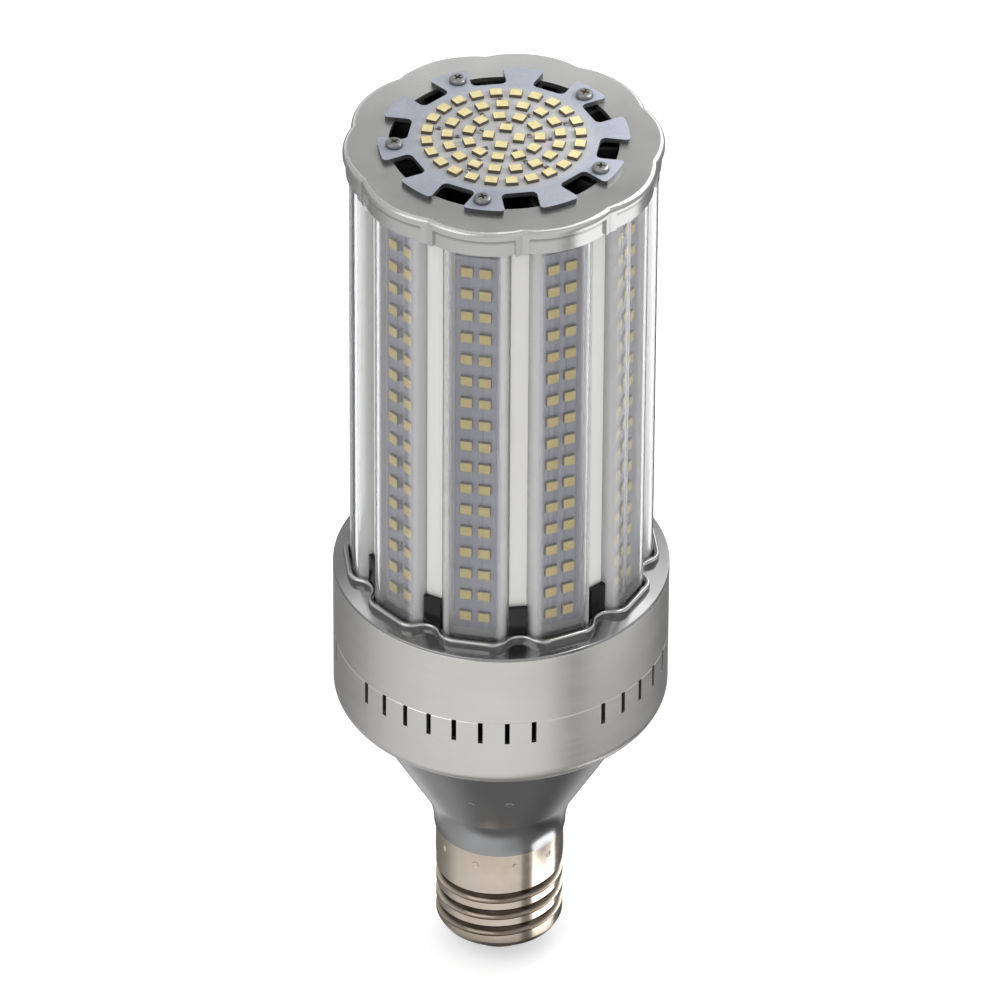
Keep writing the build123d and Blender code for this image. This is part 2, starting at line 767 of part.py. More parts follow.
export_step(fan_rotor.part, "parts/fan_rotor.step")

with BuildPart() as fan_shaft:
    with BuildSketch(Plane.XY.offset(plate_top + rotor_lift / 2)):
        Circle(shaft_radius)
    extrude(amount=hub_top - plate_top - rotor_lift / 2)
fan_shaft.part.label = "fan_shaft"
export_step(fan_shaft.part, "parts/fan_shaft.step")

# Screws that hang the fan under the collar
with BuildPart() as fan_screw:
    with BuildSketch(Plane.XZ):
        screw_section(fan_bottom, floor_top - slide_gap)
    revolve(axis=Axis.Z)
    fillet(fan_screw.edges().group_by(Axis.Z)[0], screw_head_edge)
with BuildPart() as fan_screws:
    with GridLocations(fan_hole_pitch, fan_hole_pitch, 2, 2):
        add(fan_screw.part)
fan_screws.part.label = "fan_screws"
export_step(fan_screws.part, "parts/fan_screws.step")

# Driver board on the cup's standoffs
with BuildPart() as driver_board:
    with BuildSketch(Plane.XY.offset(driver_seat)):
        Circle(driver_board_radius)
        with PolarLocations(standoff_ring, screws_in_ring, start_angle=screw_turn):
            Circle(screw_radius + moulding_gap, mode=Mode.SUBTRACT)
    extrude(amount=driver_board_thickness)
driver_board.part.label = "driver_board"
export_step(driver_board.part, "parts/driver_board.step")

with BuildPart() as driver_screw:
    with BuildSketch(Plane.XZ):
        screw_section(driver_top, base_bottom + housing_wall)
    revolve(axis=Axis.Z)
    fillet(driver_screw.edges().group_by(Axis.Z)[-1], screw_head_edge)
with BuildPart() as driver_screws:
    with PolarLocations(standoff_ring, screws_in_ring, start_angle=screw_turn):
        add(driver_screw.part)
driver_screws.part.label = "driver_screws"
export_step(driver_screws.part, "parts/driver_screws.step")

# Screws that join the cup to the neck's flange
with BuildPart() as neck_screw:
    with BuildSketch(Plane.XZ):
        screw_section(base_bottom + housing_wall, base_bottom - neck_flange_thickness)
    revolve(axis=Axis.Z)
    fillet(neck_screw.edges().group_by(Axis.Z)[-1], screw_head_edge)
with BuildPart() as neck_screws:
    with PolarLocations(neck_screw_ring, screws_in_ring):
        add(neck_screw.part)
neck_screws.part.label = "neck_screws"
export_step(neck_screws.part, "parts/neck_screws.step")

# Driver parts: two bulk capacitors, transformer, choke, film capacitor and switch heat sink
bulk_x = bulk_inset - driver_board_radius
with BuildPart() as bulk_capacitors:
    with BuildSketch(Plane.XY.offset(driver_top)):
        with Locations((bulk_x, bulk_spacing / 2), (bulk_x, -bulk_spacing / 2)):
            Circle(bulk_radius)
    extrude(amount=driver_room - bulk_headroom)
    fillet(bulk_capacitors.edges().group_by(Axis.Z)[-1], bulk_edge)
bulk_capacitors.part.label = "bulk_capacitors"
export_step(bulk_capacitors.part, "parts/bulk_capacitors.step")

transformer_x = transformer_length / 2 + winding_margin
transformer_height = driver_room - transformer_headroom
with BuildPart() as transformer:
    with BuildSketch(Plane.XY.offset(driver_top)):
        with Locations((transformer_x, 0)):
            Rectangle(transformer_length - 2 * winding_margin, transformer_width)
    extrude(amount=transformer_height)
    with BuildSketch(Plane.XY.offset(driver_top + winding_margin)):
        with Locations((transformer_x, 0)):
            Rectangle(transformer_length, transformer_width / 2)
    extrude(amount=transformer_height - 2 * winding_margin)
transformer.part.label = "transformer"
export_step(transformer.part, "parts/transformer.step")

with BuildPart() as choke:
    with Locations((0, choke_inset - driver_board_radius, driver_top + choke_section)):
        Torus(choke_radius, choke_section)
choke.part.label = "choke"
export_step(choke.part, "parts/choke.step")

with BuildPart() as film_capacitor:
    with Locations((0, driver_board_radius - film_inset, driver_top)):
        Box(film_length, film_width, film_height, align=on_base)
    fillet(film_capacitor.edges().filter_by(Axis.Z), film_edge)
film_capacitor.part.label = "film_capacitor"
export_step(film_capacitor.part, "parts/film_capacitor.step")

switch_sink_end = driver_board_radius - switch_sink_inset
switch_sink_length = switch_sink_end - transformer_width / 2 - switch_sink_gap
with BuildPart() as switch_sink:
    with Locations((transformer_x + winding_margin, -switch_sink_end, driver_top)):
        Box(
            switch_sink_thickness,
            switch_sink_length,
            transformer_height,
            align=(Align.CENTER, Align.MIN, Align.MIN),
        )
switch_sink.part.label = "switch_sink"
export_step(switch_sink.part, "parts/switch_sink.step")

# Leads from the driver to the contact and to the shell
with BuildPart() as contact_lead:
    with BuildSketch(Plane.XY.offset(contact_height)):
        Circle(lead_radius)
    extrude(amount=driver_seat - contact_height)
contact_lead.part.label = "contact_lead"
export_step(contact_lead.part, "parts/contact_lead.step")

shell_joint = shell_top - spigot_length - shell_lead_bend - lead_radius
shell_lead_end = shell_bore - slide_gap
shell_lead_radius = shell_lead_end - shell_lead_bend - shell_lead_tail
with BuildPart() as shell_lead:
    with BuildLine() as shell_lead_path:
        FilletPolyline(
            (shell_lead_radius, 0, driver_seat),
            (shell_lead_radius, 0, shell_joint),
            (shell_lead_end, 0, shell_joint),
            radius=shell_lead_bend,
        )
    with BuildSketch(Plane.XY.offset(driver_seat)):
        with Locations((shell_lead_radius, 0)):
            Circle(lead_radius)
    sweep(path=shell_lead_path.line)
shell_lead.part.label = "shell_lead"
export_step(shell_lead.part, "parts/shell_lead.step")
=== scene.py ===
import json
import math
import random

import bmesh
import bpy
from mathutils import Matrix, Vector


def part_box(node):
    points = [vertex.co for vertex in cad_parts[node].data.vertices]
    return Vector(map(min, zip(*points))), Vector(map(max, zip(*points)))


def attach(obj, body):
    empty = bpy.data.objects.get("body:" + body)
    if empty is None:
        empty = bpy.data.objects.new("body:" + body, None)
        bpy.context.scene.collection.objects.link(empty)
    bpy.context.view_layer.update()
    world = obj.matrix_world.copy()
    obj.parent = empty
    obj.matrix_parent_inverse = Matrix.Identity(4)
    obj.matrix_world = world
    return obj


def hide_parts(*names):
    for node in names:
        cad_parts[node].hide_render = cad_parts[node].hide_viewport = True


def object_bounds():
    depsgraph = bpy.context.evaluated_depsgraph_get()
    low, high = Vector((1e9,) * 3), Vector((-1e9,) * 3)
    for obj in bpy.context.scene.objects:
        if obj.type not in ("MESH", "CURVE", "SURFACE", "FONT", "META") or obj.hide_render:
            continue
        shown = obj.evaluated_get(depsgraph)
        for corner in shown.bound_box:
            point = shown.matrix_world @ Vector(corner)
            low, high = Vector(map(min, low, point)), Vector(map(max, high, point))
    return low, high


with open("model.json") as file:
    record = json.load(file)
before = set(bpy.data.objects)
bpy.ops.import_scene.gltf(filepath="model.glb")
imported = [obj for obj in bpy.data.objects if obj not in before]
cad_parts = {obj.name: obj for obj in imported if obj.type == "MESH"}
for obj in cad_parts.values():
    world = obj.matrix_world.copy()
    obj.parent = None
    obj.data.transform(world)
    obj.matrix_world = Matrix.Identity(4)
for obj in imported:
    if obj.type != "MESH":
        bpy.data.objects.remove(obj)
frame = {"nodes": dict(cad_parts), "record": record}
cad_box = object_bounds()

# Looks of the LED retrofit lamp. Lengths are metres in the CAD frame, +Z up, first strip facing -Y.
nodes = frame["nodes"]
scene = bpy.context.scene
MM = 0.001
STRIPS = 10
FRONT = math.radians(-90)
STEP = 2 * math.pi / STRIPS

random.seed(7)

# Where a finish, a painted shade or a painted highlight changes on the CAD solids, from start to end: heights
# Painted shade under the bezel's lip
LIP_SHADE = (0.2921, 0.2934)
LIP_UNDERSIDE = (0.29400, 0.29404)
# Screw shell darker towards its low end
DARKER_LOW_END = (0.0085, 0.0150)
# Painted highlight on the collar's bead
BEAD_HIGHLIGHT_START = (0.14610, 0.14640)
# Distances from the axis
# Painted shade in the thread's groove
GROOVE_TO_CREST = (0.0181, 0.0191)
LUG_TO_FLANGE = (0.0429, 0.0431)
LIT_FIELD_EDGE = (0.0235, 0.0275)
# Painted shade in the heat sink's duct starts inside this
DUCT_TO_RIB = (0.0372, 0.0380)
# Shares of a lobe, from its cusp
PANEL_SIDE = (0.070, 0.082)
WALL_TO_FRONT = (0.19, 0.26)

# Soft noise runs mostly between these two values
NOISE_LOW, NOISE_HIGH = 0.3, 0.7
NOISE_ROUGHNESS = 0.55
ROUGH_FINER = 3.1
GRAIN_DEPTH = 0.00005


def grey(level):
    return (level, level, level)


# Material helpers
class NodeKit:
    """Short calls that build a node tree."""

    def __init__(self, tree):
        self.tree = tree
        self.tree.nodes.clear()

    def add(self, kind):
        return self.tree.nodes.new(kind)

    def link(self, a, b):
        self.tree.links.new(a, b)

    def math(self, kind, *values):
        node = self.add("ShaderNodeMath")
        node.operation = kind
        for socket, value in zip(node.inputs, values):
            if isinstance(value, bpy.types.NodeSocket):
                self.link(value, socket)
            else:
                socket.default_value = value
        return node.outputs[0]

    def ramp(self, value, stops):
        node = self.add("ShaderNodeValToRGB")
        band = node.color_ramp
        while len(band.elements) < len(stops):
            band.elements.new(0.5)
        for element, (spot, colour) in zip(band.elements, stops):
            element.position = spot
            element.color = (*colour, 1.0)
        self.link(value, node.inputs["Fac"])
        return node.outputs["Color"]

    def mix(self, factor, a, b, blend="MIX"):
        node = self.add("ShaderNodeMix")
        node.data_type = "RGBA"
        node.blend_type = blend
        for name, value in (("Factor", factor), ("A", a), ("B", b)):
            socket = [s for s in node.inputs if s.name == name and s.enabled][0]
            if isinstance(value, bpy.types.NodeSocket):
                self.link(value, socket)
            else:
                socket.default_value = value if name == "Factor" else (*value, 1.0)
        return [s for s in node.outputs if s.enabled][0]


class Surface(NodeKit):
    """A node material built round one Principled shader."""

    def __init__(self, name):
        self.name = name
        self.mat = bpy.data.materials.new(name)
        self.mat.use_nodes = True
        super().__init__(self.mat.node_tree)
        out = self.add("ShaderNodeOutputMaterial")
        self.bsdf = self.add("ShaderNodeBsdfPrincipled")
        self.link(self.bsdf.outputs[0], out.inputs["Surface"])
        self.place = self.add("ShaderNodeTexCoord").outputs["Object"]

    def set(self, **values):
        for key, value in values.items():
            self.bsdf.inputs[key.replace("_", " ")].default_value = value
        return self

    def feed(self, name, value):
        self.link(value, self.bsdf.inputs[name])

    def mapped(self, stretch):
        node = self.add("ShaderNodeMapping")
        node.inputs["Scale"].default_value = stretch
        self.link(self.place, node.inputs["Vector"])
        return node.outputs[0]

    def noise(self, scale, detail=4.0, stretch=None):
        node = self.add("ShaderNodeTexNoise")
        node.inputs["Scale"].default_value = scale
        node.inputs["Detail"].default_value = detail
        node.inputs["Roughness"].default_value = NOISE_ROUGHNESS
        self.link(self.mapped(stretch) if stretch else self.place, node.inputs["Vector"])
        return node.outputs["Fac"]

    def span(self, value, low, high, start=NOISE_LOW, end=NOISE_HIGH):
        """Carry a value's range from start to end over to low to high."""
        node = self.add("ShaderNodeMapRange")
        node.inputs["From Min"].default_value = start
        node.inputs["From Max"].default_value = end
        node.inputs["To Min"].default_value = low
        node.inputs["To Max"].default_value = high
        self.link(value, node.inputs["Value"])
        return node.outputs["Result"]

    def between(self, value, dark, light):
        """A colour that goes from dark to light with a soft noise."""
        return self.ramp(value, [(NOISE_LOW, dark), (NOISE_HIGH, light)])

    def drift(self, scale, dark, light, detail=4.0, stretch=None):
        return self.between(self.noise(scale, detail, stretch), dark, light)

    def rough(self, scale, low, high):
        self.feed("Roughness", self.span(self.noise(scale), low, high))

    def split(self, vector=None):
        node = self.add("ShaderNodeSeparateXYZ")
        self.link(vector or self.place, node.inputs[0])
        return node.outputs

    def height(self):
        return self.split()[2]

    def reach(self):
        """Distance from the lamp's axis."""
        x, y, _ = self.split()
        return self.math("SQRT", self.math("ADD", self.math("MULTIPLY", x, x), self.math("MULTIPLY", y, y)))

    def from_cusp(self):
        """Share of a lobe between this place and the nearest cusp: 0 at a cusp, 0.5 at a strip's middle."""
        x, y, _ = self.split()
        lobe = self.math("MULTIPLY", self.math("ARCTAN2", y, x), STRIPS / (2 * math.pi))
        return self.math("PINGPONG", self.math("ADD", lobe, STRIPS), 0.5)

    def bump(self, height, strength, distance):
        node = self.add("ShaderNodeBump")
        node.inputs["Strength"].default_value = strength
        node.inputs["Distance"].default_value = distance
        self.link(height, node.inputs["Height"])
        self.feed("Normal", node.outputs[0])


def mottled(name, dark, light, scale, rough, grain=900.0, bump=0.1, **values):
    """A surface whose colour and roughness drift softly, with a fine grain raised on it."""
    s = Surface(name).set(**values)
    s.feed("Base Color", s.drift(scale, dark, light))
    s.rough(scale * ROUGH_FINER, *rough)
    s.bump(s.noise(grain, 2.0), bump, GRAIN_DEPTH)
    return s


def turned(name, dark, light, rough, lines):
    """Turned or drawn metal with fine rings round the lamp's axis."""
    s = Surface(name).set(Metallic=1.0)
    rings = s.noise(lines, 3.0, (0.02, 0.02, 1.0))
    tone = s.drift(28.0, dark, light)
    shade = s.ramp(rings, [(0.35, grey(0.965)), (0.65, grey(1.0))])
    s.feed("Base Color", s.mix(1.0, tone, shade, "MULTIPLY"))
    s.feed("Roughness", s.span(rings, *rough))
    s.bump(rings, 0.02, 0.00004)
    return s


# Turned and drawn metals: dark and light tone, range of roughness, fineness of the rings
contact_metal = turned("contact_metal", (0.60, 0.46, 0.24), (0.74, 0.60, 0.34), (0.18, 0.34), 3000.0)
housing_satin = turned("housing_satin", (0.70, 0.69, 0.665), (0.76, 0.75, 0.725), (0.30, 0.38), 2200.0)
bearing_bronze = turned("bearing_bronze", (0.42, 0.27, 0.13), (0.55, 0.37, 0.19), (0.25, 0.4), 4000.0)
screw_steel = turned("screw_steel", (0.42, 0.42, 0.43), (0.58, 0.58, 0.59), (0.2, 0.36), 5000.0)
screw_dull = turned("screw_dull", (0.22, 0.22, 0.225), (0.32, 0.32, 0.325), (0.34, 0.46), 5000.0)
plain_aluminium = turned("plain_aluminium", (0.58, 0.58, 0.59), (0.70, 0.70, 0.71), (0.3, 0.42), 2000.0)

# Plastics and coatings: dark and light tone, scale of the drift, range of roughness, grain and its strength
insulator = mottled("insulator", (0.012, 0.012, 0.014), (0.022, 0.020, 0.022), 90.0, (0.08, 0.16))
fan_plastic = mottled(
    "fan_plastic", (0.014, 0.014, 0.016), (0.03, 0.03, 0.032), 70.0, (0.4, 0.6), 1500.0, 0.2,
)
rotor_plastic = mottled(
    "rotor_plastic", (0.02, 0.02, 0.023), (0.04, 0.04, 0.043), 80.0, (0.35, 0.55), 1500.0, 0.2,
)
driver_laminate = mottled(
    "driver_laminate", (0.012, 0.08, 0.035), (0.022, 0.13, 0.055), 240.0, (0.3, 0.45), 2000.0,
)
capacitor_sleeve = mottled(
    "capacitor_sleeve", (0.012, 0.012, 0.02), (0.024, 0.024, 0.034), 60.0, (0.15, 0.25),
)
film_case = mottled("film_case", (0.46, 0.29, 0.035), (0.56, 0.37, 0.055), 90.0, (0.4, 0.55))
ferrite = mottled("ferrite", (0.016, 0.016, 0.016), (0.035, 0.034, 0.033), 160.0, (0.55, 0.75), 1600.0, 0.4)
lead_sleeve = mottled("lead_sleeve", (0.60, 0.59, 0.56), (0.70, 0.69, 0.66), 70.0, (0.4, 0.55))
# Dark brown case, its sides also painted shade; used as painted shade in screw recesses and rivet hollows too
chip_case_and_shade = mottled("chip_case_and_shade", (0.075, 0.06, 0.04), (0.12, 0.10, 0.07), 500.0, (0.4, 0.55), 3000.0)
phosphor = mottled("phosphor", (0.56, 0.42, 0.10), (0.66, 0.52, 0.16), 700.0, (0.35, 0.5), 5000.0, 0.2)
# Paler, less yellow copy of the phosphor for the top chips: painted glare
phosphor_painted_glare = mottled(
    "phosphor_painted_glare", (0.62, 0.53, 0.25), (0.74, 0.65, 0.36), 400.0, (0.3, 0.45), 5000.0, 0.2,
)
solder = mottled("solder", (0.42, 0.42, 0.43), (0.60, 0.60, 0.61), 900.0, (0.25, 0.4), 3000.0, Metallic=1.0)

# Neck: smooth gloss grey
neck_gloss = Surface("neck_gloss").set(Metallic=1.0)
neck_gloss.feed("Base Color", neck_gloss.drift(30.0, (0.36, 0.362, 0.368), (0.39, 0.392, 0.398)))
neck_gloss.rough(60.0, 0.14, 0.19)

# Bezel: satin grey, with painted shade along the upper edge of each sunk panel, under the lip
bezel_grey = Surface("bezel_grey").set(Metallic=0.9)
bezel_tone = bezel_grey.drift(40.0, (0.53, 0.53, 0.52), (0.57, 0.57, 0.56))
bezel_height = bezel_grey.height()
in_panel = bezel_grey.span(bezel_grey.from_cusp(), 0.0, 1.0, *PANEL_SIDE)
below_lip = bezel_grey.span(bezel_height, 0.0, 1.0, *LIP_SHADE)
under_lip = bezel_grey.math("MULTIPLY", below_lip, bezel_grey.span(bezel_height, 1.0, 0.0, *LIP_UNDERSIDE))
# Painted shade under the lip, dark along the top of each panel
lip_shade = bezel_grey.math("MULTIPLY", bezel_grey.math("MULTIPLY", in_panel, under_lip), 0.75)
bezel_grey.feed("Base Color", bezel_grey.mix(lip_shade, bezel_tone, (0.16, 0.16, 0.155)))
bezel_grey.rough(80.0, 0.24, 0.28)

# Screw shell: warm nickel, darker towards its low end, with painted shade, dull and brown, in the bottom of
# the thread
shell_nickel = Surface("shell_nickel").set(Metallic=1.0)
plate = shell_nickel.drift(60.0, (0.62, 0.535, 0.44), (0.73, 0.645, 0.55))
# Painted shade in the bottom of the thread, brown-black
groove_shade = shell_nickel.drift(140.0, (0.035, 0.026, 0.019), (0.09, 0.07, 0.052))
crest = shell_nickel.span(shell_nickel.reach(), 0.0, 1.0, *GROOVE_TO_CREST)
# Darker towards the low end
low_end = shell_nickel.span(shell_nickel.height(), 1.0, 0.0, *DARKER_LOW_END)
darker_plate = shell_nickel.mix(low_end, plate, (0.28, 0.23, 0.18))
shell_nickel.feed("Base Color", shell_nickel.mix(crest, groove_shade, darker_plate))
shell_nickel.rough(220.0, 0.12, 0.22)
shell_nickel.bump(shell_nickel.noise(240.0, 3.0), 0.06, 0.0002)

# Lower collar: dark polished metal, lighter on the wall's top as a painted highlight along the bead, black on
# the lugs under the ribs
collar_dark = Surface("collar_dark").set(Metallic=1.0)
polish = collar_dark.drift(50.0, (0.30, 0.30, 0.302), (0.35, 0.35, 0.352))
# Lighter tone on the wall's top: a painted highlight along the bead
bead_highlight = collar_dark.drift(50.0, (0.48, 0.48, 0.475), (0.56, 0.56, 0.555))
lug_black = collar_dark.drift(90.0, (0.035, 0.035, 0.037), (0.05, 0.05, 0.052))
wall_top = collar_dark.span(collar_dark.height(), 0.0, 1.0, *BEAD_HIGHLIGHT_START)
flange = collar_dark.span(collar_dark.reach(), 0.0, 1.0, *LUG_TO_FLANGE)
polish_and_bead_highlight = collar_dark.mix(wall_top, polish, bead_highlight)
collar_dark.feed("Base Color", collar_dark.mix(flange, lug_black, polish_and_bead_highlight))
collar_dark.rough(120.0, 0.12, 0.17)

# Copper winding, with turns as fine bands
winding = Surface("winding").set(Metallic=1.0)
turns = winding.add("ShaderNodeTexWave")
turns.inputs["Scale"].default_value = 420.0
turns.inputs["Distortion"].default_value = 1.5
winding.link(winding.place, turns.inputs["Vector"])
copper = winding.ramp(turns.outputs["Fac"], [(0.2, (0.22, 0.075, 0.025)), (0.8, (0.48, 0.19, 0.07))])
winding.feed("Base Color", copper)
winding.rough(90.0, 0.25, 0.4)
winding.bump(turns.outputs["Fac"], 0.6, 0.0002)

# Strip boards: lavender-grey mask with faint tracks between the chips
strip_board = Surface("strip_board").set(Specular_IOR_Level=0.4)
tracks = strip_board.add("ShaderNodeTexBrick")
tracks.inputs["Scale"].default_value = 120.0
tracks.inputs["Mortar Size"].default_value = 0.03
tracks.inputs["Color1"].default_value = (0.34, 0.34, 0.385, 1.0)
tracks.inputs["Color2"].default_value = (0.30, 0.30, 0.345, 1.0)
tracks.inputs["Mortar"].default_value = (0.245, 0.245, 0.285, 1.0)
strip_board.link(strip_board.place, tracks.inputs["Vector"])
mask_tone = strip_board.drift(60.0, (0.86, 0.86, 0.88), grey(1.0))
strip_board.feed("Base Color", strip_board.mix(1.0, tracks.outputs["Color"], mask_tone, "MULTIPLY"))
strip_board.rough(200.0, 0.4, 0.55)
strip_board.bump(strip_board.noise(1500.0), 0.08, GRAIN_DEPTH)

# Top board: blue-grey mask on the tabs, pale round the chips, with painted shade on the faces that don't face
# up (its cut edges)
board_grey = Surface("board_grey")
tab_tone = board_grey.drift(55.0, (0.31, 0.33, 0.39), (0.40, 0.42, 0.48), 6.0)
pale_tone = board_grey.drift(70.0, (0.43, 0.435, 0.44), (0.53, 0.53, 0.52), 6.0)
lit_field = board_grey.span(board_grey.reach(), 1.0, 0.0, *LIT_FIELD_EDGE)
facing = board_grey.add("ShaderNodeNewGeometry").outputs["Normal"]
face_up = board_grey.span(board_grey.split(facing)[2], 0.0, 1.0, 0.4, 0.6)
flecks = board_grey.ramp(board_grey.noise(900.0, 2.0), [(0.45, grey(0.9)), (0.75, grey(1.0))])
mask_face = board_grey.mix(1.0, board_grey.mix(lit_field, tab_tone, pale_tone), flecks, "MULTIPLY")
# Painted shade on the board's edges: dark wherever the face doesn't point up
edge_shade = board_grey.drift(120.0, (0.035, 0.036, 0.04), (0.07, 0.072, 0.078))
board_grey.feed("Base Color", board_grey.mix(face_up, edge_shade, mask_face))
board_grey.rough(150.0, 0.32, 0.5)
board_grey.bump(board_grey.noise(1400.0), 0.08, GRAIN_DEPTH)

# Heat sink: off-white powder coat outside; bare metal in the duct, painted near black as the shade of the
# dark cavity
sink_white = Surface("sink_white")
coated = sink_white.span(sink_white.reach(), 0.0, 1.0, *DUCT_TO_RIB)
coat = sink_white.drift(45.0, (0.645, 0.64, 0.61), (0.70, 0.695, 0.67), 3.0, (1.0, 1.0, 0.3))
# Painted shade in the duct, near black
duct_shade = sink_white.drift(120.0, (0.010, 0.010, 0.011), (0.022, 0.022, 0.023))
sink_white.feed("Base Color", sink_white.mix(coated, duct_shade, coat))
sink_white.rough(160.0, 0.38, 0.52)
sink_white.bump(sink_white.noise(1300.0), 0.12, 0.00006)

# Clear channels: clear in front of the strip, milky towards the side walls
CLEAR_SHARE, MILKY_SHARE = 0.96, 0.62
clear_cover = Surface("clear_cover").set(IOR=1.35, Specular_IOR_Level=0.5)
haze = clear_cover.noise(25.0, 2.0, (1.0, 1.0, 0.2))
side_wall = clear_cover.span(clear_cover.from_cusp(), 1.0, 0.0, *WALL_TO_FRONT)
clear_tone = clear_cover.between(haze, (0.89, 0.895, 0.91), (0.93, 0.935, 0.95))
milk_tone = clear_cover.between(haze, grey(0.82), grey(0.86))
clear_cover.feed("Base Color", clear_cover.mix(side_wall, clear_tone, milk_tone))
clear_cover.feed("Transmission Weight", clear_cover.span(side_wall, CLEAR_SHARE, MILKY_SHARE, 0.0, 1.0))
clear_cover.feed("Roughness", clear_cover.span(haze, 0.07, 0.11))

finish = {surface.name: surface for surface in (
    shell_nickel, contact_metal, insulator, neck_gloss, housing_satin, collar_dark, sink_white, strip_board,
    phosphor, clear_cover, bezel_grey, board_grey, fan_plastic, rotor_plastic, bearing_bronze, screw_steel,
    winding, driver_laminate, capacitor_sleeve, film_case, ferrite, plain_aluminium, lead_sleeve,
)}
for part in frame["record"]["subparts"]:
    mesh = nodes[part["node"]].data
    mesh.materials.clear()
    mesh.materials.append(finish[part["material_slot"]].mat)


# Mesh helpers
def piece(name, bm, slots, body, replaced=()):
    """Turn a bmesh into a piece that rides on a body and may stand for CAD nodes."""
    mesh = bpy.data.meshes.new(name)
    bm.normal_update()
    bm.to_mesh(mesh)
    bm.free()
    for surface in slots:
        mesh.materials.append(surface.mat)
    obj = bpy.data.objects.new(name, mesh)
    scene.collection.objects.link(obj)
    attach(obj, body)
    if replaced:
        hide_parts(*replaced)


def loop(bm, place, half_width, half_height, rise, corner):
    """Ring of eight points: a rectangle with cut corners at one height over a placed plane."""
    w, h, c = half_width, half_height, corner
    spots = [
        (w - c, h), (c - w, h), (-w, h - c), (-w, c - h), (c - w, -h), (w - c, -h), (w, c - h), (w, h - c),
    ]
    return [bm.verts.new(place @ Vector((a, b, rise))) for a, b in spots]


def ring_of(bm, place, radius, height, count=32):
    """Ring of points round a placed axis."""
    spots = [2 * math.pi * i / count for i in range(count)]
    return [bm.verts.new(place @ Vector((radius * math.cos(a), radius * math.sin(a), height))) for a in spots]


def bridge(bm, low, high, slot, smooth=False):
    """Faces between two rings of the same length."""
    count = len(low)
    for i in range(count):
        face = bm.faces.new((low[i], low[(i + 1) % count], high[(i + 1) % count], high[i]))
        face.material_index = slot
        face.smooth = smooth


def cap(bm, ring, slot):
    face = bm.faces.new(ring)
    face.material_index = slot


def on_ring(radius, turn, height):
    return Matrix.Translation((radius * math.cos(turn), radius * math.sin(turn), height))


# Chip: corner cuts, bevel of the case, and the sunk edge and crown of its window
CASE_CORNER, CASE_BEVEL = 0.12 * MM, 0.1 * MM
WINDOW_INSET, WINDOW_DIP, WINDOW_CORNER = 0.18 * MM, 0.03 * MM, 0.3 * MM
CROWN_INSET, CROWN_CORNER = 0.8 * MM, 0.2 * MM


def chip(bm, place, width, height, thickness):
    """One packaged chip: a dark case, partly painted shade on its sides, with a crowned phosphor window."""
    w, h = width / 2, height / 2
    foot = loop(bm, place, w, h, 0.0, CASE_CORNER)
    shoulder = loop(bm, place, w, h, thickness - CASE_BEVEL, CASE_CORNER)
    rim = loop(bm, place, w - CASE_BEVEL, h - CASE_BEVEL, thickness, CASE_CORNER)
    edge = loop(bm, place, w - WINDOW_INSET, h - WINDOW_INSET, thickness - WINDOW_DIP, WINDOW_CORNER)
    crown = loop(bm, place, w - CROWN_INSET, h - CROWN_INSET, thickness, CROWN_CORNER)
    cap(bm, foot[::-1], 0)
    bridge(bm, foot, shoulder, 0)
    bridge(bm, shoulder, rim, 0)
    bridge(bm, rim, edge, 1)
    bridge(bm, edge, crown, 1, True)
    cap(bm, crown, 1)


# Small part: half length and depth, height, half length of a tinned end, and its bevels
SMALL_HALF, SMALL_DEEP, SMALL_RISE = 0.8 * MM, 0.55 * MM, 0.5 * MM
END_HALF, END_BEVEL, TOP_BEVEL = 0.25 * MM, 0.05 * MM, 0.06 * MM


def small_part(bm, place):
    """A chip resistor: a dark bar between two tinned ends."""
    bars = ((0.0, SMALL_HALF - END_HALF, 0), (SMALL_HALF, END_HALF, 1), (-SMALL_HALF, END_HALF, 1))
    for centre, half_width, slot in bars:
        spot = place @ Matrix.Translation((centre, 0, 0))
        low = loop(bm, spot, half_width, SMALL_DEEP, 0.0, END_BEVEL)
        edge = loop(bm, spot, half_width, SMALL_DEEP, SMALL_RISE - TOP_BEVEL, END_BEVEL)
        top = loop(bm, spot, half_width - END_BEVEL, SMALL_DEEP - TOP_BEVEL, SMALL_RISE, END_BEVEL)
        cap(bm, low[::-1], slot)
        bridge(bm, low, edge, slot)
        bridge(bm, edge, top, slot)
        cap(bm, top, slot)


# Screw: radii, length of the point, and the cross recess as shares of the head
HEAD_RADIUS, SHANK_RADIUS, POINT_LENGTH = 2.6 * MM, 1.2 * MM, 1.0 * MM
CROSS_ARM, CROSS_HALF = 0.5 * HEAD_RADIUS, 0.13 * HEAD_RADIUS
CROSS_TAPER, CROSS_DEPTH = 0.8, 0.5


